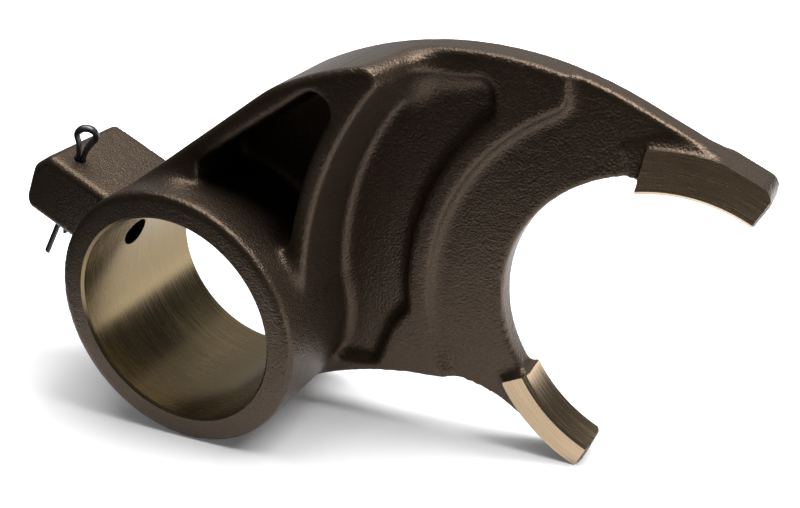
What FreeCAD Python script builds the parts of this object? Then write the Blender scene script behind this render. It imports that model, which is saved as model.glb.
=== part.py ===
import FreeCAD, Part
import math
import os

# Shift fork, all lengths in millimetres.
# Origin: centre of the hub bore at the middle of its length. +Y runs along the bore from the
# front face to the back face, +X towards the two fingers, +Z up. Depths are counted from the
# hub's front face. The part stands on its hub and on the lower fingertip.

Vec = FreeCAD.Vector

# Hub
bore_radius = 17.0
hub_radius = 21.2
hub_length = 28.0
hub_rounding = 0.9
bore_chamfer = 0.4

# Depth levels behind the hub's front face
rib_depth = 6.0
boss_depth = 8.0
land_depth = 16.2
pad_depth = 16.5
outer_depth = 17.8
recess_floor_depth = 17.9
web_back_depth = 21.95
pad_thickness = 5.9
boss_back_depth = 25.4

# Gear shaft that the fingers reach around
gear_x = 71.1
gear_z = 1.9
pad_inner_radius = 21.7
pad_chamfer = 0.55
upper_pad_radius = 28.2
lower_pad_radius = 26.1
upper_tip_angle = 60.0
lower_tip_angle = 243.0
lower_step_angle = 205.8
tip_overhang = 0.9

# Inner edge of the web between the pads
web_x = 69.0
web_z = 3.9
web_radius = 21.7

# Upper outline of the arm: a straight start at the hub, one long arc, a straight finger
top_start_angle = 117.0
top_start_slope = 33.0
top_x = 40.8
top_z = -15.0
top_radius = 56.5
upper_finger_slope = 27.5
bend_radius = 20.0
upper_corner_radius = 2.2
fork_reach = 70.0

# Lower outline of the arm: a flat arch, a tighter arc, a straight finger
arch_start_x = 11.0
arch_x = 37.5
arch_radius = 61.8
arch_top_z = -10.95
lower_arc_radius = 19.6
lower_finger_slope = 35.0
lower_corner_radius = 1.0

# Wall of the second rib, an arc that leans outwards with depth
wall_x = 76.2
wall_z = 0.95
wall_radius = 55.8
wall_foot_x = 65.9
wall_foot_z = 3.25
wall_foot_radius = 45.1
wall_corner_radius = 2.0
wall_reach = 24.0

# Pocket between the two ribs
rib_thickness = 2.9
rib_low_z = 2.0
rib_overlap = 0.8
pocket_top_slope = 31.5
pocket_top_offset = 18.8
pocket_end_x = 3.6
pocket_depth = 18.6
pocket_low_z = 8.0
pocket_corner_radius = 2.6
pocket_end_radius = 1.1

# Recess in the front of the arm: an arc on the fork's side, a straight top and a narrow foot
recess_radius = 38.5
recess_left_x = 14.0
recess_right_x = 47.5
recess_top_z = 37.9
recess_waist = (36.5, 5.0)
recess_foot_side = (29.6, -3.4)
recess_foot_end = (26.4, -10.8)
recess_corner_radius = 2.4
recess_shoulder_radius = 1.6
recess_slope_width = 1.3

# Step down from the land to the outer zone, and the steps where the pads begin
step_x = 70.15
step_z = 2.45
step_radius = 34.4
step_end_x = 57.4
step_corner_radius = 2.5
step_slope_width = 1.0
upper_step_in = (66.4, 22.0)
upper_step_out = (68.4, 30.6)

# Boss with the follower hole and the cross hole for the split pin
boss_angle = 152.0
boss_corner_radius = 1.4
boss_front_rounding = 1.1
boss_back_rounding = 0.4
boss_half_width = 5.8
boss_reach = 36.1
boss_corner_along = 2.3
boss_corner_across = 3.4
boss_foot_along = 0.9
boss_foot_across = 1.7
follower_radius = 2.5
follower_depth = 12.15
pin_reach = 30.5
pin_radius = 0.8
pin_clearance = 0.15

# Split pin: half-round wire folded into an eye, one leg longer than the other
leg_gap = 0.1
pin_turn = -37.0
eye_inner_radius = 1.2
eye_flare_radius = 8.5
eye_height = 0.3
leg_bend_radius = 12.0
outer_leg_bend = 5.0
outer_leg_reach = 8.9
inner_leg_bend = 12.0
inner_leg_reach = 3.9
leg_straight = 0.3

# Softening of the casting's edges
outline_rounding = 0.8
pocket_rim_rounding = 0.4
pocket_floor_rounding = 1.2
hub_foot_blend = 1.2
boss_blend = 1.6
seam_tolerance = 1e-4


def y_at(depth):
    return depth - hub_length / 2.0


def point(x, z, depth):
    return Vec(x, y_at(depth), z)


def polar(x, z, radius, angle):
    a = math.radians(angle)
    return (x + radius * math.cos(a), z + radius * math.sin(a))


def prism(pairs, depth_from, depth_to):
    # upright solid over a closed outline of straight sides
    points = [point(x, z, depth_from) for x, z in pairs]
    face = Part.Face(Part.makePolygon(points + points[:1]))
    return face.extrude(Vec(0, depth_to - depth_from, 0))


def disc(x, z, radius, depth_from, depth_to):
    return Part.makeCylinder(radius, depth_to - depth_from, point(x, z, depth_from), Vec(0, 1, 0))


def arc(a, b, c, depth):
    return Part.Arc(point(a[0], a[1], depth), point(b[0], b[1], depth), point(c[0], c[1], depth)).toShape()


def line(a, b, depth):
    return Part.makeLine(point(a[0], a[1], depth), point(b[0], b[1], depth))


def meet(start, slope, other, other_slope):
    # point where two straight lines cross
    ax = math.cos(math.radians(slope))
    az = math.sin(math.radians(slope))
    bx = math.cos(math.radians(other_slope))
    bz = math.sin(math.radians(other_slope))
    run = ((other[0] - start[0]) * bz - (other[1] - start[1]) * bx) / (ax * bz - az * bx)
    return (start[0] + run * ax, start[1] + run * az)


def line_to_circle(start, slope, x, z, radius):
    # last point where a straight line from a start point meets a circle
    dx = math.cos(math.radians(slope))
    dz = math.sin(math.radians(slope))
    along = (x - start[0]) * dx + (z - start[1]) * dz
    off = (x - start[0]) * dz - (z - start[1]) * dx
    far = along + math.sqrt(radius * radius - off * off)
    return (start[0] + far * dx, start[1] + far * dz)


def upright_edges(shape, spots, reach=0.6):
    # edges parallel to the bore that pass by the given points
    found = []
    for edge in shape.Edges:
        ends = [v.Point for v in edge.Vertexes]
        if len(ends) != 2 or abs(ends[0].x - ends[1].x) > 1e-4 or abs(ends[0].z - ends[1].z) > 1e-4:
            continue
        if any(math.hypot(ends[0].x - x, ends[0].z - z) < reach for x, z in spots):
            found.append(edge)
    return found


def level_edges(shape, depth):
    # edges that lie in the plane at one depth
    level = y_at(depth)
    found = []
    for edge in shape.Edges:
        if abs(edge.BoundBox.YMin - level) < 1e-3 and abs(edge.BoundBox.YMax - level) < 1e-3:
            found.append(edge)
    return found


top_start = polar(0, 0, hub_radius, top_start_angle)
top_bend = line_to_circle(top_start, top_start_slope, top_x, top_z, top_radius)
top_tangent = polar(top_x, top_z, top_radius, 90.0 - upper_finger_slope)
bend_angle = math.degrees(math.atan2(top_bend[1] - top_z, top_bend[0] - top_x))
top_middle = polar(top_x, top_z, top_radius, (bend_angle + 90.0 - upper_finger_slope) / 2.0)
arch_z = arch_top_z - arch_radius
arch_crown = (arch_x, arch_top_z)
lower_arc_z = arch_top_z - lower_arc_radius
lower_tangent = polar(arch_x, lower_arc_z, lower_arc_radius, 90.0 - lower_finger_slope)
lower_middle = polar(arch_x, lower_arc_z, lower_arc_radius, 90.0 - lower_finger_slope / 2.0)
floor_z = -hub_radius
gear = (gear_x, gear_z)
lower_toe = meet(lower_tangent, -lower_finger_slope, (0.0, floor_z), 0.0)
lower_corner = meet(gear, lower_tip_angle + tip_overhang, (0.0, floor_z), 0.0)
upper_corner = meet(gear, upper_tip_angle - tip_overhang, top_tangent, -upper_finger_slope)
arch_start = (arch_start_x, arch_z + math.sqrt(arch_radius ** 2 - (arch_x - arch_start_x) ** 2))
arch_middle_x = (arch_start_x + arch_x) / 2.0
arch_middle = (arch_middle_x, arch_z + math.sqrt(arch_radius ** 2 - (arch_x - arch_middle_x) ** 2))


def arm_outline(depth_from, depth_to, rounding=0.0):
    inside = polar(0, 0, (bore_radius + hub_radius) / 2.0, top_start_angle)
    edges = [
        line((0, 0), inside, depth_from),
        line(inside, top_start, depth_from),
        line(top_start, top_bend, depth_from),
        arc(top_bend, top_middle, top_tangent, depth_from),
        line(top_tangent, upper_corner, depth_from),
        line(upper_corner, gear, depth_from),
        line(gear, lower_corner, depth_from),
        line(lower_corner, lower_toe, depth_from),
        line(lower_toe, lower_tangent, depth_from),
        arc(lower_tangent, lower_middle, arch_crown, depth_from),
        arc(arch_crown, arch_middle, arch_start, depth_from),
        line(arch_start, (0, 0), depth_from),
    ]
    solid = Part.Face(Part.Wire(edges)).extrude(Vec(0, depth_to - depth_from, 0))
    solid = solid.makeFillet(bend_radius, upright_edges(solid, [top_bend]))
    solid = solid.makeFillet(upper_corner_radius, upright_edges(solid, [upper_corner]))
    solid = solid.makeFillet(lower_corner_radius, upright_edges(solid, [lower_corner, lower_toe]))
    if rounding > 0.0:
        rims = [e for e in solid.Edges if e.BoundBox.YLength < 1e-3 and e.BoundBox.XMax > hub_radius]
        middle = Part.Vertex(point(gear_x, gear_z, depth_from))
        rims = [e for e in rims if e.distToShape(middle)[0] > pad_inner_radius / 2.0]
        solid = solid.makeFillet(rounding, rims)
    return solid


# Space between the fingers: round about the gear at the pads, and about its own centre between them
front = rib_depth + rib_thickness
back = hub_length + rib_thickness
between_pads = prism(
    [
        gear,
        upper_step_in,
        upper_step_out,
        (upper_step_out[0], fork_reach),
        (0.0, fork_reach),
        polar(gear_x, gear_z, fork_reach, lower_step_angle),
    ],
    front,
    back,
)
gear_space = disc(gear_x, gear_z, pad_inner_radius, front, back)
web_space = disc(web_x, web_z, web_radius, front, back).common(between_pads)
fork_space = gear_space.fuse(web_space).removeSplitter()

step_disc = disc(step_x, step_z, step_radius, front, outer_depth)
step_far_x = gear_x + fork_reach
step_block = prism(
    [(step_end_x, step_z), (step_end_x, fork_reach), (step_far_x, fork_reach), (step_far_x, step_z)],
    front,
    outer_depth,
)
step_cut = step_disc.fuse(step_block).removeSplitter()
step_corner_z = step_z + math.sqrt(step_radius ** 2 - (step_x - step_end_x) ** 2)
step_cut = step_cut.makeFillet(step_corner_radius, upright_edges(step_cut, [(step_end_x, step_corner_z)]))
step_cut = step_cut.makeChamfer(step_slope_width, level_edges(step_cut, outer_depth))
land = arm_outline(land_depth, web_back_depth - rib_overlap, outline_rounding).cut(step_cut)
plate = arm_outline(outer_depth, web_back_depth, outline_rounding).fuse(land).removeSplitter()

recess_outline = [
    (recess_left_x, recess_top_z),
    (recess_right_x, recess_top_z),
    (recess_right_x, recess_waist[1]),
    recess_waist,
    recess_foot_side,
    recess_foot_end,
    (recess_left_x, recess_foot_end[1]),
]
recess_cut = prism(recess_outline, front, recess_floor_depth)
recess_cut = recess_cut.cut(disc(gear_x, gear_z, recess_radius, front - 1.0, back))
recess_cut = max(recess_cut.Solids, key=lambda solid: solid.Volume)
recess_spots = [(recess_right_x, recess_top_z), recess_foot_side, recess_foot_end]
recess_cut = recess_cut.makeFillet(recess_corner_radius, upright_edges(recess_cut, recess_spots))
shoulder_z = gear_z + math.sqrt(recess_radius ** 2 - (gear_x - recess_right_x) ** 2)
shoulder = upright_edges(recess_cut, [(recess_right_x, shoulder_z)])
recess_cut = recess_cut.makeFillet(recess_shoulder_radius, shoulder)
recess_cut = recess_cut.makeChamfer(recess_slope_width, level_edges(recess_cut, recess_floor_depth))
plate = plate.cut(recess_cut).cut(fork_space)


def pad(outer_radius, region):
    ring = disc(gear_x, gear_z, outer_radius, pad_depth, pad_depth + pad_thickness)
    ring = ring.cut(disc(gear_x, gear_z, pad_inner_radius, front, back))
    inner = [e for e in level_edges(ring, pad_depth) if abs(e.Curve.Radius - pad_inner_radius) < 1e-3]
    ring = ring.makeChamfer(pad_chamfer, inner)
    return ring.common(region).common(arm_outline(front, back))


upper_region = prism(
    [
        gear,
        polar(gear_x, gear_z, fork_reach, upper_tip_angle),
        (upper_step_out[0], fork_reach),
        upper_step_out,
        upper_step_in,
    ],
    front,
    back,
)
lower_region = prism(
    [
        gear,
        polar(gear_x, gear_z, fork_reach, lower_step_angle),
        polar(gear_x, gear_z, fork_reach, lower_tip_angle),
    ],
    front,
    back,
)
upper_pad = pad(upper_pad_radius, upper_region)
lower_pad = pad(lower_pad_radius, lower_region)


def wall_wire(x, z, radius, depth):
    # everything on the fork's side of the wall at one depth
    low = -wall_reach
    high = top_z + top_radius + pocket_corner_radius
    points = []
    for level in (low, (low + high) / 2.0, high):
        points.append((x - math.sqrt(radius ** 2 - (level - z) ** 2), level))
    edges = [
        arc(points[0], points[1], points[2], depth),
        line(points[2], (step_far_x, high), depth),
        line((step_far_x, high), (step_far_x, low), depth),
        line((step_far_x, low), points[0], depth),
    ]
    return Part.Wire(edges)


wall_top = wall_wire(wall_x, wall_z, wall_radius, rib_depth)
wall_foot = wall_wire(wall_foot_x, wall_foot_z, wall_foot_radius, recess_floor_depth)
rib_back_depth = web_back_depth - rib_overlap
beyond_wall = Part.makeLoft([wall_top, wall_foot], True, True)
beyond_wall = beyond_wall.fuse(Part.Face(wall_foot).extrude(Vec(0, rib_back_depth - recess_floor_depth, 0)))
above_hub = prism(
    [(-fork_reach, rib_low_z), (fork_reach, rib_low_z), (fork_reach, fork_reach), (-fork_reach, fork_reach)],
    rib_depth - 1.0,
    back,
)
ribs = arm_outline(rib_depth, rib_back_depth).common(above_hub).cut(beyond_wall)
ribs = max(ribs.Solids, key=lambda solid: solid.Volume)
leaning = [e for e in ribs.Edges if e.BoundBox.YLength > recess_floor_depth - land_depth]
wall_corner = [e for e in leaning if e.BoundBox.XMin > hub_radius and e.BoundBox.ZMin > hub_radius]
ribs = ribs.makeFillet(wall_corner_radius, wall_corner)

pocket_slope = math.radians(pocket_top_slope)
pocket_left_z = (pocket_top_offset + pocket_end_x * math.sin(pocket_slope)) / math.cos(pocket_slope)
pocket_far_x = recess_right_x
pocket_far_z = (pocket_top_offset + pocket_far_x * math.sin(pocket_slope)) / math.cos(pocket_slope)
pocket = prism(
    [
        (pocket_end_x, pocket_left_z),
        (pocket_far_x, pocket_far_z),
        (pocket_far_x, pocket_low_z),
        (pocket_end_x, pocket_low_z),
    ],
    rib_depth - 1.0,
    pocket_depth,
)
pocket = pocket.cut(disc(wall_x, wall_z, wall_radius + rib_thickness, rib_depth - 2.0, back))
pocket = max(pocket.Solids, key=lambda solid: solid.Volume)
pocket_uprights = upright_edges(pocket, [(pocket_far_x, pocket_far_z)], fork_reach)
far_corner = max(pocket_uprights, key=lambda e: e.CenterOfMass.z)
pocket = pocket.makeFillet(pocket_corner_radius, [far_corner])
pocket = pocket.makeFillet(pocket_end_radius, upright_edges(pocket, [(pocket_end_x, pocket_left_z)]))
pocket = pocket.makeFillet(pocket_floor_rounding, level_edges(pocket, pocket_depth))
ribs = ribs.cut(pocket)
plate = plate.cut(pocket)
rims = [e for e in level_edges(ribs, rib_depth) if e.BoundBox.ZMax > rib_low_z + 0.1]
outer_rims = [e for e in rims if e.distToShape(pocket)[0] > 0.5]
pocket_rims = [e for e in rims if e.distToShape(pocket)[0] < 1e-3]
ribs = ribs.makeFillet(outline_rounding, outer_rims)
ribs = ribs.makeFillet(pocket_rim_rounding, pocket_rims)


def hub_edges(shape, depth_low, depth_high):
    # edges where something meets the hub's outer cylinder between two depths
    found = []
    for edge in shape.Edges:
        span = edge.LastParameter - edge.FirstParameter
        samples = [edge.valueAt(edge.FirstParameter + t * span) for t in (0.1, 0.5, 0.9)]
        if any(abs(math.hypot(p.x, p.z) - hub_radius) > 1e-3 for p in samples):
            continue
        if y_at(depth_low) <= edge.CenterOfMass.y <= y_at(depth_high):
            found.append(edge)
    return found


hub = disc(0, 0, hub_radius, 0, hub_length)
hub = hub.makeFillet(hub_rounding, level_edges(hub, 0.0) + level_edges(hub, hub_length))
hub.rotate(Vec(0, 0, 0), Vec(0, 1, 0), lower_step_angle)


def along_boss(along, across):
    # point given by its distance along the boss axis and across it, upwards positive
    a = math.radians(boss_angle)
    return (along * math.cos(a) + across * math.sin(a), along * math.sin(a) - across * math.cos(a))


boss = prism(
    [
        along_boss(0.0, -boss_half_width),
        along_boss(boss_reach - boss_foot_along, -boss_half_width),
        along_boss(boss_reach, boss_foot_across - boss_half_width),
        along_boss(boss_reach, boss_half_width - boss_corner_across),
        along_boss(boss_reach - boss_corner_along, boss_half_width),
        along_boss(0.0, boss_half_width),
    ],
    boss_depth,
    boss_back_depth,
)

boss_corners = [
    along_boss(boss_reach - boss_foot_along, -boss_half_width),
    along_boss(boss_reach, boss_foot_across - boss_half_width),
    along_boss(boss_reach, boss_half_width - boss_corner_across),
    along_boss(boss_reach - boss_corner_along, boss_half_width),
]
boss = boss.makeFillet(boss_corner_radius, upright_edges(boss, boss_corners, boss_foot_along / 4.0))


def boss_rims(depth):
    rims = level_edges(boss, depth)
    return [e for e in rims if math.hypot(e.CenterOfMass.x, e.CenterOfMass.z) > bore_radius / 2.0]


boss = boss.makeFillet(boss_front_rounding, boss_rims(boss_depth))
boss = boss.makeFillet(boss_back_rounding, boss_rims(boss_back_depth))
body = hub.fuse([ribs, plate, boss, upper_pad, lower_pad]).removeSplitter()

boss_foot = hub_edges(body, boss_depth - 0.1, boss_back_depth + 0.1)
boss_foot = [e for e in boss_foot if e.BoundBox.XMax < -hub_radius / 2.0]
body = body.makeFillet(boss_blend, boss_foot)
hub_foot = hub_edges(body, recess_floor_depth - 0.01, recess_floor_depth + 0.01)
body = body.makeFillet(hub_foot_blend, hub_foot)
bore = disc(0, 0, bore_radius, -1.0, hub_length + 1.0)
body = body.cut(bore)
end_edges = level_edges(body, 0.0) + level_edges(body, hub_length)
bore_rims = [e for e in end_edges if e.distToShape(bore)[0] < 1e-4]
body = body.makeChamfer(bore_chamfer, bore_rims)


def rod(start, direction_angle, radius, length, depth):
    a = math.radians(direction_angle)
    direction = Vec(math.cos(a), 0, math.sin(a))
    return Part.makeCylinder(radius, length, point(start[0], start[1], depth), direction)


follower_hole = rod((0.0, 0.0), boss_angle, follower_radius, boss_reach + 5.0, follower_depth)
pin_hole = rod(
    along_boss(pin_reach, -boss_half_width - 5.0),
    boss_angle - 90.0,
    pin_radius + leg_gap / 2.0 + pin_clearance,
    2.0 * boss_half_width + 10.0,
    follower_depth,
)
body = body.cut(follower_hole).cut(pin_hole)

half_gap = leg_gap / 2.0
flare_x = half_gap + eye_flare_radius
eye_rise = math.sqrt((eye_flare_radius + eye_inner_radius) ** 2 - flare_x ** 2)
eye_foot = boss_half_width + eye_height
eye_centre = eye_foot + eye_rise
flare_angle = math.degrees(math.atan2(eye_rise, flare_x))
leg_start = -boss_half_width - leg_straight


def pin_point(out, across):
    # the fold's plane is turned about the pin from the plane of the boss axis
    turn = math.radians(pin_turn)
    x, z = along_boss(pin_reach + out * math.cos(turn), across)
    return point(x, z, follower_depth + out * math.sin(turn))


def pin_arc(centre, radius, a0, a1):
    points = []
    for a in (a0, (a0 + a1) / 2.0, a1):
        x, z = polar(centre[0], centre[1], radius, a)
        points.append(pin_point(x, z))
    return Part.Arc(points[0], points[1], points[2]).toShape()


def leg(side, bend, reach):
    # edges of one leg from its free end up to the eye, and the direction of its free end
    centre = (side * (half_gap + leg_bend_radius), leg_start)
    straight_side = 90.0 + side * 90.0
    bend_side = straight_side + side * bend
    x, z = polar(centre[0], centre[1], leg_bend_radius, bend_side)
    run = (z + boss_half_width + reach) / math.cos(math.radians(bend))
    tip = (x + side * run * math.sin(math.radians(bend)), -boss_half_width - reach)
    edges = [
        Part.makeLine(pin_point(*tip), pin_point(x, z)),
        pin_arc(centre, leg_bend_radius, bend_side, straight_side),
        Part.makeLine(pin_point(side * half_gap, leg_start), pin_point(side * half_gap, eye_foot)),
    ]
    return edges, pin_point(*tip), pin_point(x, z)


outer_leg, outer_tip, outer_bend = leg(1.0, outer_leg_bend, outer_leg_reach)
inner_leg, inner_tip, inner_bend = leg(-1.0, inner_leg_bend, inner_leg_reach)
eye = [
    pin_arc((flare_x, eye_foot), eye_flare_radius, 180.0, 180.0 - flare_angle),
    pin_arc((0.0, eye_centre), eye_inner_radius, -flare_angle, 180.0 + flare_angle),
    pin_arc((-flare_x, eye_foot), eye_flare_radius, flare_angle, 0.0),
]
path = Part.Wire(outer_leg + eye + list(reversed(inner_leg)))

across_fold = (pin_point(1.0, 0.0) - pin_point(0.0, 0.0)).cross(pin_point(0.0, 1.0) - pin_point(0.0, 0.0))
outwards = across_fold.cross(outer_bend - outer_tip).normalize()
if outwards.dot(pin_point(1.0, 0.0) - pin_point(0.0, 0.0)) < 0:
    outwards = outwards * -1.0
half_width = across_fold.normalize() * pin_radius
profile = Part.Wire(
    [
        Part.Arc(outer_tip - half_width, outer_tip + outwards * pin_radius, outer_tip + half_width).toShape(),
        Part.makeLine(outer_tip + half_width, outer_tip - half_width),
    ]
)
split_pin = path.makePipeShell([profile], True, False)

body.fixTolerance(seam_tolerance)
os.makedirs("parts", exist_ok=True)
body.exportStep("parts/fork_body.step")
split_pin.exportStep("parts/split_pin.step")
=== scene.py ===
import math

import bpy
import numpy as np
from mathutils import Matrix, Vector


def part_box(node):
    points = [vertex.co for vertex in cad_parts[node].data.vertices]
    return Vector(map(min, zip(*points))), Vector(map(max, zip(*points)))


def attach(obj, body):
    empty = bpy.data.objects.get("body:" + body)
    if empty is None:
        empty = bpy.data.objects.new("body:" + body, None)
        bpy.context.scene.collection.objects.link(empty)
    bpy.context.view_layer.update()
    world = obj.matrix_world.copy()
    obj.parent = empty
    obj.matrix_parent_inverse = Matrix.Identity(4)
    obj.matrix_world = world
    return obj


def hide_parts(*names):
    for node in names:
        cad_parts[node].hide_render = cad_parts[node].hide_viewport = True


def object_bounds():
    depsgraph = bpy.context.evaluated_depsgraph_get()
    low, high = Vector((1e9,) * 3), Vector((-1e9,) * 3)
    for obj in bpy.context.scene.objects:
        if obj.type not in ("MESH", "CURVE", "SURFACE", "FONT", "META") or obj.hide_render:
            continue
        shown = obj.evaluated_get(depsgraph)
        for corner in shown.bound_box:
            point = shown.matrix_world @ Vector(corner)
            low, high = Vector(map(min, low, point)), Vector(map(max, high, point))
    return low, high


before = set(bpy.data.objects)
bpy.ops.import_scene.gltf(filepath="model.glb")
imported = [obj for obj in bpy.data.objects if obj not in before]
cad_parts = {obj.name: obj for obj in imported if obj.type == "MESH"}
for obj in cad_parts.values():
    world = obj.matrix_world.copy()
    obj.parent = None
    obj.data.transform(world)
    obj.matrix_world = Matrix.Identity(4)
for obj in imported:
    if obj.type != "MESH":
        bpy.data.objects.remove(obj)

import openvdb
from mathutils import Matrix, Vector

cad_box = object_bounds()

MM = 0.001

# The fork's own sizes in millimetres, in the row frame: the bore runs along Y
BORE_RADIUS = 17.0
BORE_CHAMFER = 0.4
HUB_RADIUS = 21.2
HUB_LENGTH = 28.0
RIB_FRONT = -8.0
BOSS_ANGLE = math.radians(152.0)
BOSS_REACH = 36.1
BOSS_HALF_WIDTH = 5.8
HOLE_Y = -1.85
FOLLOWER_RADIUS = 2.5
PIN_REACH = 30.5
PIN_HOLE_RADIUS = 1.0
GEAR_X = 71.1
GEAR_Z = 1.9
PAD_INNER_RADIUS = 21.7
PAD_FRONT = 2.5
PAD_BACK = 8.4
PAD_CHAMFER = 0.6

# Each pad's start and end in degrees about the gear's axis, and its outer radius
UPPER_PAD = (55.0, 102.5, 28.3)
LOWER_PAD = (206.0, 250.0, 26.2)

# The pads' crisp sides fade into the soft casting over this many degrees
PAD_FADE = 1.0

# Softness of the sand casting, in millimetres
CELL = 0.36
BAND = 3 * CELL
MARGIN = 7.0
HOLLOW_RADIUS = 1.0
EDGE_RADIUS = 0.5
PROUD_REACH = 1.5

# The share of the casting's faces that is kept, and the angle from which an edge looks sharp
KEPT_FACES = 0.5
SHARP_ANGLE = 40.0

# The saddle on top of the second rib is softer, and fades out between these distances
SADDLE_RADIUS = 4.5
SADDLE_SPOT = (37.0, 3.5, 40.0)
SADDLE_FADE = (4.0, 9.5)

# Both ribs run into the hub with a share of that softness, between these angles about the hub
NECK_SHARE = 0.65
NECK_FADE = (4.0, 8.0)
FIRST_RIB_ANGLES = (70.0, 92.0, 115.0, 125.0)
SECOND_RIB_ANGLES = (-10.0, 0.0, 6.0, 46.0)

# Cutting tools, in millimetres: how far they run out past the metal, and how many sides they have
BORE_RUNOUT = 2.0
FOLLOWER_RUNOUT = 5.0
PIN_DRILL_HALF = 12.0
FACING_RADIUS = 30.0
FACING_CUT = 3.0
SKIN_CUT = 0.15
TURNED_SIDES = 256
DRILL_SIDES = 64

# Sizes in the bronze's surface, in millimetres. The sand's grain is drawn coarser than it is, to show
SAND_GRAIN = 0.32
WORN_FLECK = 0.3
MOULD_DENT = 1.5
OXIDE_PATCH = 14.0

# Tool marks to the millimetre: across the lines and along them
BORE_LINES = 5.0
BORE_LINE_DRIFT = 0.06
PAD_LINES = 4.5
PAD_LINE_DRIFT = 0.12
PAD_DEPTH_SHARE = 30.0
GLOSS_SPREAD = 0.06

# Sockets of the Mix node when it mixes colours
MIX_SHARE, MIX_FIRST, MIX_SECOND, MIX_RESULT = 0, 6, 7, 2

# The room, in metres: white paper under the fork, with its near corner here, on a dark sheet that is painted
# shade in front of and left of the paper
FORK_MIDDLE = (0.03, 0.0, 0.0)
PAPER_CORNER = (-0.035, -0.052)
PAPER_LEFT = -3.3
FLOOR_REACH = 3.0
SHADE_SHEET_DROP = 0.0002
WHITE_FADE = (0.05, 0.14)
WHITE_NEAR = 0.08
ROOM_LEVEL = 0.08

# Camera of the photograph: place in millimetres, angles in degrees
CAMERA_PLACE = (105.358, -137.386, 81.522)
CAMERA_YAW = -27.798
CAMERA_PITCH = -24.524
CAMERA_ROLL = -3.15
CAMERA_LENS = 52.213
CAMERA_CLIP = 0.01


def linear(code):
    """sRGB hex to linear RGBA."""
    parts = [int(code[i : i + 2], 16) / 255 for i in (1, 3, 5)]
    return [c / 12.92 if c <= 0.04045 else ((c + 0.055) / 1.055) ** 2.4 for c in parts] + [1.0]


def smooth(low, high, value):
    """0 below low, 1 above high, and a soft change between them."""
    t = np.clip((value - low) / (high - low), 0.0, 1.0)
    return t * t * (3.0 - 2.0 * t)


def between(limits, value):
    """Rises softly from the first limit to the second, and falls from the third to the fourth."""
    rise_from, rise_to, fall_from, fall_to = limits
    return smooth(rise_from, rise_to, value) * (1.0 - smooth(fall_from, fall_to, value))


class Cells:
    """Distances to a surface, in millimetres, on a regular block of cells around the fork."""

    def __init__(self, low, high):
        self.first = [int(math.floor((v - MARGIN) / CELL)) for v in low]
        last = [int(math.ceil((v + MARGIN) / CELL)) for v in high]
        self.count = [b - a + 1 for a, b in zip(self.first, last)]
        steps = [(np.arange(n, dtype=np.float32) + a) * CELL for n, a in zip(self.count, self.first)]
        self.x, self.y, self.z = np.meshgrid(*steps, indexing="ij", sparse=True)

    def transform(self):
        return openvdb.createLinearTransform(voxelSize=CELL)

    def measure(self, points, triangles, quads, reach):
        """The distances to a mesh, as far out and in as reach."""
        grid = openvdb.FloatGrid.createLevelSetFromPolygons(
            points, triangles=triangles, quads=quads, transform=self.transform(), halfWidth=reach / CELL
        )
        block = np.full(self.count, reach, dtype=np.float32)
        grid.copyToArray(block, ijk=self.first)
        return block

    def surface(self, block, level):
        """The mesh that lies level outside the shape."""
        grid = openvdb.FloatGrid(float(block.max()))
        grid.transform = self.transform()
        grid.copyFromArray(block, ijk=self.first)
        grid.gridClass = openvdb.GridClass.LEVEL_SET
        return grid.convertToPolygons(isovalue=level)

    def rolled(self, block, radius):
        """The shape that a ball leaves as it rolls over it: outside, or inside with a negative radius."""
        points, triangles, quads = self.surface(block, radius)
        return self.measure(points, triangles, quads, abs(radius) + BAND) + radius


def mesh_arrays(mesh):
    """A mesh's points in millimetres, and its triangles."""
    points = np.empty(len(mesh.vertices) * 3, np.float32)
    mesh.vertices.foreach_get("co", points)
    mesh.calc_loop_triangles()
    corners = np.empty(len(mesh.loop_triangles) * 3, np.int32)
    mesh.loop_triangles.foreach_get("vertices", corners)
    return points.reshape(-1, 3) / MM, corners.reshape(-1, 3).astype(np.uint32)


def plugged(cells, exact):
    """The casting before it was machined: bore, follower hole and pin hole are full."""
    x, y, z = cells.x, cells.y, cells.z
    along = x * math.cos(BOSS_ANGLE) + z * math.sin(BOSS_ANGLE)
    across = x * math.sin(BOSS_ANGLE) - z * math.cos(BOSS_ANGLE)
    bore = np.maximum(np.hypot(x, z) - BORE_RADIUS - 2 * BORE_CHAMFER, np.abs(y) - HUB_LENGTH / 2)
    follower = np.hypot(across, y - HOLE_Y) - FOLLOWER_RADIUS - CELL
    follower = np.maximum(follower, np.maximum(along - BOSS_REACH, -along))
    pin = np.hypot(along - PIN_REACH, y - HOLE_Y) - PIN_HOLE_RADIUS - CELL
    pin = np.maximum(pin, np.abs(across) - BOSS_HALF_WIDTH)
    return np.minimum(np.minimum(exact, bore), np.minimum(follower, pin))


def soft_share(cells):
    """Where the large hollow radius takes over from the small one: at the saddle and the ribs' necks."""
    x, y, z = cells.x, cells.y, cells.z
    from_saddle = np.sqrt(sum((axis - spot) ** 2 for axis, spot in zip((x, y, z), SADDLE_SPOT)))
    saddle = 1.0 - smooth(*SADDLE_FADE, from_saddle)
    hub_angle = np.degrees(np.arctan2(z, x))
    beside_pocket = between(SECOND_RIB_ANGLES, hub_angle) + between(FIRST_RIB_ANGLES, hub_angle)
    from_neck = np.hypot(np.hypot(x, z) - HUB_RADIUS, y - RIB_FRONT)
    neck = NECK_SHARE * beside_pocket * (1.0 - smooth(*NECK_FADE, from_neck))
    return np.maximum(saddle, neck)


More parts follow.
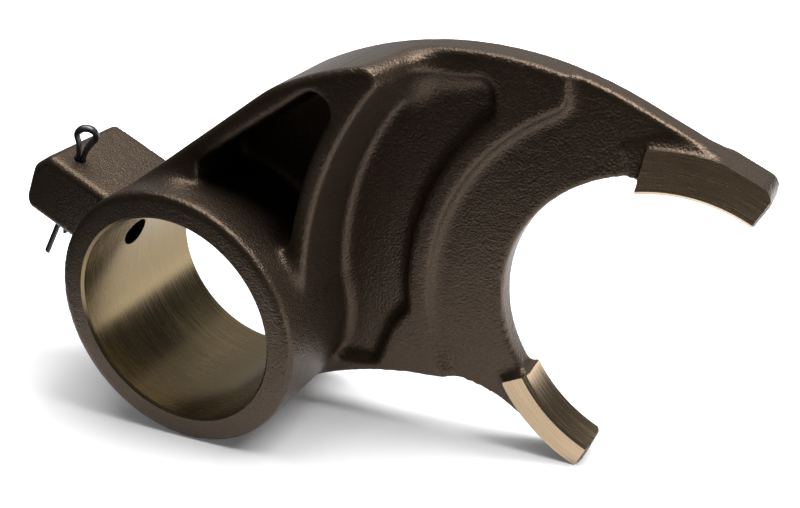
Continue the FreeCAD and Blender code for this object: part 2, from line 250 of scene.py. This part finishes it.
def pad_share(cells):
    """1 at the pads, which keep their crisp sides, and 0 on the rest of the casting."""
    radius = np.hypot(cells.x - GEAR_X, cells.z - GEAR_Z)
    angle = np.degrees(np.arctan2(cells.z - GEAR_Z, cells.x - GEAR_X)) % 360.0
    share = np.zeros_like(radius)
    for start, end, outer in (UPPER_PAD, LOWER_PAD):
        along_pad = between((start - PAD_FADE, start, end, end + PAD_FADE), angle)
        share += along_pad * (1.0 - smooth(outer, outer + 2 * CELL, radius))
    return share


def softened_casting(node):
    """The casting with filled hollow corners and dull outer edges, its bore and holes still solid."""
    points, triangles = mesh_arrays(node.data)
    cells = Cells(points.min(axis=0), points.max(axis=0))
    no_quads = np.zeros((0, 4), np.uint32)
    exact = cells.measure(points, triangles, no_quads, SADDLE_RADIUS + BAND)
    solid = plugged(cells, exact)
    small = cells.rolled(solid, HOLLOW_RADIUS)
    large = cells.rolled(solid, SADDLE_RADIUS)
    share = soft_share(cells)
    filled = small * (1.0 - share) + large * share
    dull = cells.rolled(filled, -EDGE_RADIUS)

    # the pads stand a cell proud of both faces, and are milled back afterwards
    proud = np.minimum(exact, np.minimum(np.roll(exact, 1, axis=1), np.roll(exact, -1, axis=1)))
    proud = np.clip(proud, -PROUD_REACH, PROUD_REACH)
    near_pad = pad_share(cells)
    shape = dull * (1.0 - near_pad) + proud * near_pad
    points, triangles, quads = cells.surface(shape, 0.0)
    return points, list(triangles) + list(quads)


def add_mesh(name, points, faces):
    mesh = bpy.data.meshes.new(name)
    mesh.from_pydata([tuple(p) for p in points], [], [tuple(f) for f in faces])
    mesh.validate()
    mesh.update()
    piece = bpy.data.objects.new(name, mesh)
    bpy.context.scene.collection.objects.link(piece)
    return piece


def turned_tool(name, outline, centre=(0.0, 0.0), sides=TURNED_SIDES):
    """A solid turned about a line along Y: outline is a list of (y, radius) from end to end."""
    x, z = centre
    points = [(x, outline[0][0], z), (x, outline[-1][0], z)]
    for y, radius in outline:
        for i in range(sides):
            angle = 2 * math.pi * i / sides
            points.append((x + radius * math.cos(angle), y, z + radius * math.sin(angle)))
    first = 2
    last = first + (len(outline) - 1) * sides
    faces = []
    for i in range(sides):
        j = (i + 1) % sides
        faces.append((0, first + i, first + j))
        faces.append((1, last + j, last + i))
        for row in range(first, last, sides):
            faces.append((row + j, row + i, row + sides + i, row + sides + j))
    return add_mesh(name, np.array(points) * MM, faces)


def drill(name, radius, start, direction, length):
    """A round rod from a start point along a direction, in millimetres."""
    tool = turned_tool(name, [(0.0, radius), (length, radius)], sides=DRILL_SIDES)
    turn = Vector((0.0, 1.0, 0.0)).rotation_difference(direction).to_matrix().to_4x4()
    tool.data.transform(Matrix.Translation(start * MM) @ turn)
    return tool


def apply_modifiers(piece):
    graph = bpy.context.evaluated_depsgraph_get()
    mesh = bpy.data.meshes.new_from_object(piece.evaluated_get(graph))
    piece.modifiers.clear()
    piece.data = mesh


def cut(piece, tool, material):
    """Takes the tool's shape out of the piece. The new faces get the tool's material."""
    tool.data.materials.append(material)
    modifier = piece.modifiers.new("cut", "BOOLEAN")
    modifier.operation = "DIFFERENCE"
    modifier.solver = "EXACT"
    modifier.material_mode = "TRANSFER"
    modifier.object = tool
    apply_modifiers(piece)
    bpy.data.objects.remove(tool)


def bore_hub(casting, material):
    """The rail's bore, with a chamfer at both ends."""
    half = HUB_LENGTH / 2
    wide = BORE_RADIUS + BORE_CHAMFER + BORE_RUNOUT
    outline = [
        (-half - BORE_RUNOUT, wide),
        (-half + BORE_CHAMFER, BORE_RADIUS),
        (half - BORE_CHAMFER, BORE_RADIUS),
        (half + BORE_RUNOUT, wide),
    ]
    cut(casting, turned_tool("bore tool", outline), material)


def drill_boss(casting, material):
    """The follower hole along the boss, and the split pin's hole across it."""
    out = Vector((math.cos(BOSS_ANGLE), 0.0, math.sin(BOSS_ANGLE)))
    down = Vector((math.sin(BOSS_ANGLE), 0.0, -math.cos(BOSS_ANGLE)))
    axis = Vector((0.0, HOLE_Y, 0.0))
    length = BOSS_REACH + FOLLOWER_RUNOUT
    cut(casting, drill("follower drill", FOLLOWER_RADIUS, axis, out, length), material)
    above = axis + PIN_REACH * out - PIN_DRILL_HALF * down
    cut(casting, drill("pin drill", PIN_HOLE_RADIUS, above, down, 2 * PIN_DRILL_HALF), material)


def mill_pads(casting, material):
    """Both faces of the pads, and their inner side with its chamfer, about the gear's axis."""
    inner = PAD_INNER_RADIUS + SKIN_CUT
    front_face = [(PAD_FRONT - FACING_CUT, FACING_RADIUS), (PAD_FRONT, FACING_RADIUS)]
    back_face = [(PAD_BACK, FACING_RADIUS), (PAD_BACK + FACING_CUT, FACING_RADIUS)]
    inner_side = [
        (PAD_FRONT - FACING_CUT, inner + PAD_CHAMFER + FACING_CUT),
        (PAD_FRONT + PAD_CHAMFER, inner),
        (PAD_BACK + FACING_CUT, inner),
    ]
    for outline in (front_face, back_face, inner_side):
        cut(casting, turned_tool("pad cutter", outline, (GEAR_X, GEAR_Z)), material)


def make_casting(node, cast, bored, milled):
    """The whole fork body, cast and then machined."""
    points, faces = softened_casting(node)
    low, high = (np.array(corner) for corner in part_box("fork_body"))
    casting = add_mesh("shift_fork_casting", np.clip(points * MM, low, high), faces)
    casting.data.materials.append(cast)
    casting.modifiers.new("fewer faces", "DECIMATE").ratio = KEPT_FACES
    apply_modifiers(casting)
    bore_hub(casting, bored)
    drill_boss(casting, bored)
    mill_pads(casting, milled)
    casting.data.shade_smooth()
    casting.data.set_sharp_from_angle(angle=math.radians(SHARP_ANGLE))
    return casting


def add_node(tree, kind, inputs=None, **settings):
    """Adds a node. An input goes by its name or number, and gets a value or another node's output."""
    node = tree.nodes.new(kind)
    for key, value in settings.items():
        setattr(node, key, value)
    for key, value in (inputs or {}).items():
        if isinstance(value, bpy.types.NodeSocket):
            tree.links.new(value, node.inputs[key])
        else:
            node.inputs[key].default_value = value
    return node


def new_material(name):
    material = bpy.data.materials.new(name)
    material.use_nodes = True
    material.node_tree.nodes.clear()
    return material, material.node_tree


def cast_bronze():
    """Aluminium bronze out of a sand mould: a dull dark brown skin, its grain worn to gold at the tips."""
    material, tree = new_material("sand-cast bronze")
    place = add_node(tree, "ShaderNodeTexCoord").outputs["Object"]
    grain = add_node(
        tree,
        "ShaderNodeTexVoronoi",
        {"Vector": place, "Scale": 1 / (SAND_GRAIN * MM), "Smoothness": 0.4},
        feature="SMOOTH_F1",
    )
    fleck, dents, patches = (
        add_node(tree, "ShaderNodeTexNoise", {"Vector": place, "Scale": 1 / (size * MM), "Detail": detail})
        for size, detail in ((WORN_FLECK, 1.0), (MOULD_DENT, 2.0), (OXIDE_PATCH, 2.0))
    )
    oxide = add_node(
        tree,
        "ShaderNodeMix",
        {MIX_SHARE: patches.outputs["Fac"], MIX_FIRST: linear("#41362e"), MIX_SECOND: linear("#4e4236")},
        data_type="RGBA",
    )
    tips = add_node(
        tree,
        "ShaderNodeMapRange",
        {"Value": fleck.outputs["Fac"], "From Min": 0.5, "From Max": 0.75, "To Min": 0.0, "To Max": 0.14},
    )
    colour = add_node(
        tree,
        "ShaderNodeMix",
        {
            MIX_SHARE: tips.outputs["Result"],
            MIX_FIRST: oxide.outputs[MIX_RESULT],
            MIX_SECOND: linear("#8b7048"),
        },
        data_type="RGBA",
    )
    dented = add_node(
        tree, "ShaderNodeBump", {"Strength": 0.35, "Distance": 0.2 * MM, "Height": dents.outputs["Fac"]}
    )
    rough = add_node(
        tree,
        "ShaderNodeBump",
        {
            "Strength": 0.8,
            "Distance": 0.08 * MM,
            "Height": grain.outputs["Distance"],
            "Normal": dented.outputs["Normal"],
        },
        invert=True,
    )
    skin = add_node(
        tree,
        "ShaderNodeBsdfPrincipled",
        {
            "Base Color": colour.outputs[MIX_RESULT],
            "Metallic": 0.8,
            "Roughness": 0.4,
            "Normal": rough.outputs["Normal"],
        },
    )
    add_node(tree, "ShaderNodeOutputMaterial", {"Surface": skin.outputs["BSDF"]})
    return material


def machined_bronze(name, code, roughness, streaks, strength):
    """Bare golden bronze with the tool's fine lines, which follow the noise coordinate from streaks."""
    material, tree = new_material(name)
    lines = add_node(
        tree, "ShaderNodeTexNoise", {"Vector": streaks(tree), "Scale": 1.0, "Detail": 3.0, "Roughness": 0.7}
    ).outputs["Fac"]
    bump = add_node(
        tree, "ShaderNodeBump", {"Strength": strength, "Distance": 0.05 * MM, "Height": lines}
    )
    contrast = {"Value": lines, "From Min": 0.3, "From Max": 0.7}
    gloss = add_node(
        tree,
        "ShaderNodeMapRange",
        {**contrast, "To Min": roughness - GLOSS_SPREAD, "To Max": roughness + GLOSS_SPREAD},
    )
    tone = add_node(tree, "ShaderNodeMapRange", {**contrast, "To Min": 0.8, "To Max": 1.1})
    colour = add_node(
        tree,
        "ShaderNodeMix",
        {MIX_SHARE: 1.0, MIX_FIRST: linear(code), MIX_SECOND: tone.outputs["Result"]},
        data_type="RGBA",
        blend_type="MULTIPLY",
    )
    skin = add_node(
        tree,
        "ShaderNodeBsdfPrincipled",
        {
            "Base Color": colour.outputs[MIX_RESULT],
            "Metallic": 1.0,
            "Roughness": gloss.outputs["Result"],
            "Normal": bump.outputs["Normal"],
        },
    )
    add_node(tree, "ShaderNodeOutputMaterial", {"Surface": skin.outputs["BSDF"]})
    return material


def bore_streaks(tree):
    """Rings round the bore, as the boring tool leaves them."""
    place = add_node(tree, "ShaderNodeTexCoord").outputs["Object"]
    scale = (BORE_LINE_DRIFT / MM, BORE_LINES / MM, BORE_LINE_DRIFT / MM)
    return add_node(tree, "ShaderNodeMapping", {"Vector": place, "Scale": scale}).outputs["Vector"]


def pad_streaks(tree):
    """Arcs about the gear's axis, along the length of each pad."""
    place = add_node(tree, "ShaderNodeTexCoord").outputs["Object"]
    centre = (GEAR_X * MM, 0.0, GEAR_Z * MM)
    offset = add_node(tree, "ShaderNodeVectorMath", {0: place, 1: centre}, operation="SUBTRACT").outputs[0]
    flat = add_node(
        tree, "ShaderNodeVectorMath", {0: offset, 1: (1.0, 0.0, 1.0)}, operation="MULTIPLY"
    ).outputs[0]
    radius = add_node(tree, "ShaderNodeVectorMath", {0: flat}, operation="LENGTH").outputs["Value"]
    lines = add_node(tree, "ShaderNodeMath", {0: radius, 1: PAD_LINES / MM}, operation="MULTIPLY").outputs[0]
    drift = add_node(
        tree, "ShaderNodeVectorMath", {0: offset, "Scale": PAD_LINE_DRIFT / MM}, operation="SCALE"
    ).outputs[0]
    parts = add_node(tree, "ShaderNodeSeparateXYZ", {0: drift}).outputs
    depth = add_node(tree, "ShaderNodeMath", {0: parts["Y"], 1: PAD_DEPTH_SHARE}, operation="MULTIPLY")
    place_in_lines = {"X": lines, "Y": depth.outputs[0], "Z": parts["X"]}
    return add_node(tree, "ShaderNodeCombineXYZ", place_in_lines).outputs[0]


def steel_wire():
    """Drawn low-carbon steel wire: plain dark grey, with a soft sheen."""
    material, tree = new_material("drawn steel wire")
    skin = add_node(
        tree, "ShaderNodeBsdfPrincipled", {"Base Color": linear("#505054"), "Metallic": 1.0, "Roughness": 0.4}
    )
    add_node(tree, "ShaderNodeOutputMaterial", {"Surface": skin.outputs["BSDF"]})
    return material


def white_paper():
    """Matt white paper that fades to a plain white background away from the fork."""
    material, tree = new_material("white paper")
    place = add_node(tree, "ShaderNodeTexCoord").outputs["Object"]
    offset = add_node(
        tree, "ShaderNodeVectorMath", {0: place, 1: FORK_MIDDLE}, operation="SUBTRACT"
    ).outputs[0]
    flat = add_node(
        tree, "ShaderNodeVectorMath", {0: offset, 1: (1.0, 1.0, 0.0)}, operation="MULTIPLY"
    ).outputs[0]
    away = add_node(tree, "ShaderNodeVectorMath", {0: flat}, operation="LENGTH").outputs["Value"]
    fade = add_node(
        tree,
        "ShaderNodeMapRange",
        {
            "Value": away,
            "From Min": WHITE_FADE[0],
            "From Max": WHITE_FADE[1],
            "To Min": WHITE_NEAR,
            "To Max": 1.0,
        },
        interpolation_type="SMOOTHSTEP",
    ).outputs["Result"]
    rays = add_node(tree, "ShaderNodeLightPath").outputs
    seen = add_node(
        tree, "ShaderNodeMath", {0: rays["Is Camera Ray"], 1: rays["Is Glossy Ray"]}, operation="ADD"
    ).outputs[0]
    seen = add_node(
        tree, "ShaderNodeMath", {0: seen, 1: rays["Is Transmission Ray"]}, operation="ADD", use_clamp=True
    ).outputs[0]
    strength = add_node(tree, "ShaderNodeMath", {0: fade, 1: seen}, operation="MULTIPLY").outputs[0]
    paper = add_node(
        tree,
        "ShaderNodeBsdfPrincipled",
        {
            "Base Color": linear("#f4f4f6"),
            "Roughness": 0.9,
            "Emission Color": linear("#ffffff"),
            "Emission Strength": strength,
        },
    )
    add_node(tree, "ShaderNodeOutputMaterial", {"Surface": paper.outputs["BSDF"]})
    return material


def painted_shade_sheet():
    """Matt dark sheet under and around the paper: painted shade in front of and left of it, which the upper
    front faces mirror.
    """
    material, tree = new_material("painted shade")
    top = add_node(tree, "ShaderNodeBsdfPrincipled", {"Base Color": linear("#33302e"), "Roughness": 0.8})
    add_node(tree, "ShaderNodeOutputMaterial", {"Surface": top.outputs["BSDF"]})
    return material


def add_floor(name, corners, height, material):
    floor = add_mesh(name, [(x, y, height) for x, y in corners], [(0, 1, 2, 3)])
    floor.data.materials.append(material)


def add_light(name, place, target, size, power):
    """A square lamp at a place in metres, turned to its target, with its power in watts."""
    data = bpy.data.lights.new(name, "AREA")
    data.size = size
    data.energy = power
    light = bpy.data.objects.new(name, data)
    light.location = place
    light.rotation_euler = (Vector(target) - Vector(place)).to_track_quat("-Z", "Y").to_euler()
    bpy.context.scene.collection.objects.link(light)


def add_camera():
    data = bpy.data.cameras.new("camera")
    data.lens = CAMERA_LENS
    data.clip_start = CAMERA_CLIP
    camera = bpy.data.objects.new("camera", data)
    yaw, pitch, roll = (math.radians(a) for a in (CAMERA_YAW, CAMERA_PITCH, CAMERA_ROLL))
    view = Vector((math.sin(yaw) * math.cos(pitch), math.cos(yaw) * math.cos(pitch), math.sin(pitch)))
    turn = view.to_track_quat("-Z", "Y").to_matrix().to_4x4()
    spin = Matrix.Rotation(roll, 4, "Z")
    camera.matrix_world = Matrix.Translation(Vector(CAMERA_PLACE) * MM) @ turn @ spin
    bpy.context.scene.collection.objects.link(camera)
    return camera


bored = machined_bronze("bored bronze", "#7e6f54", roughness=0.26, streaks=bore_streaks, strength=0.15)
milled = machined_bronze("milled bronze", "#b29c80", roughness=0.24, streaks=pad_streaks, strength=0.12)

casting = make_casting(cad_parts["fork_body"], cast_bronze(), bored, milled)
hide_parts("fork_body")
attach(casting, "root")

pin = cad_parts["split_pin"]
pin.data.materials.clear()
pin.data.materials.append(steel_wire())

far = FLOOR_REACH
floor_z = cad_box[0][2]
paper_outline = [PAPER_CORNER, (far, PAPER_CORNER[1]), (far, far), (PAPER_LEFT, far)]
add_floor("paper", paper_outline, floor_z, white_paper())
# the dark sheet round the paper is painted shade, which the upper front faces mirror
shade_sheet_outline = [(-far, -far), (far, -far), (far, far), (-far, far)]
add_floor("shade sheet", shade_sheet_outline, floor_z - SHADE_SHEET_DROP, painted_shade_sheet())

scene = bpy.context.scene
world = bpy.data.worlds.new("room")
world.use_nodes = True
background = world.node_tree.nodes["Background"]
background.inputs["Color"].default_value = linear("#ffffff")
background.inputs["Strength"].default_value = ROOM_LEVEL
scene.world = world

add_light("window", place=(0.27, 0.06, 0.42), target=FORK_MIDDLE, size=0.3, power=3.5)
add_light("ceiling", place=(-0.03, 0.06, 0.55), target=FORK_MIDDLE, size=0.4, power=2.8)
add_light("back wall", place=(-0.3, 1.2, 0.6), target=(0.0, 0.0, 0.2), size=1.6, power=3.2)
scene.camera = add_camera()

scene.view_settings.view_transform = "Standard"
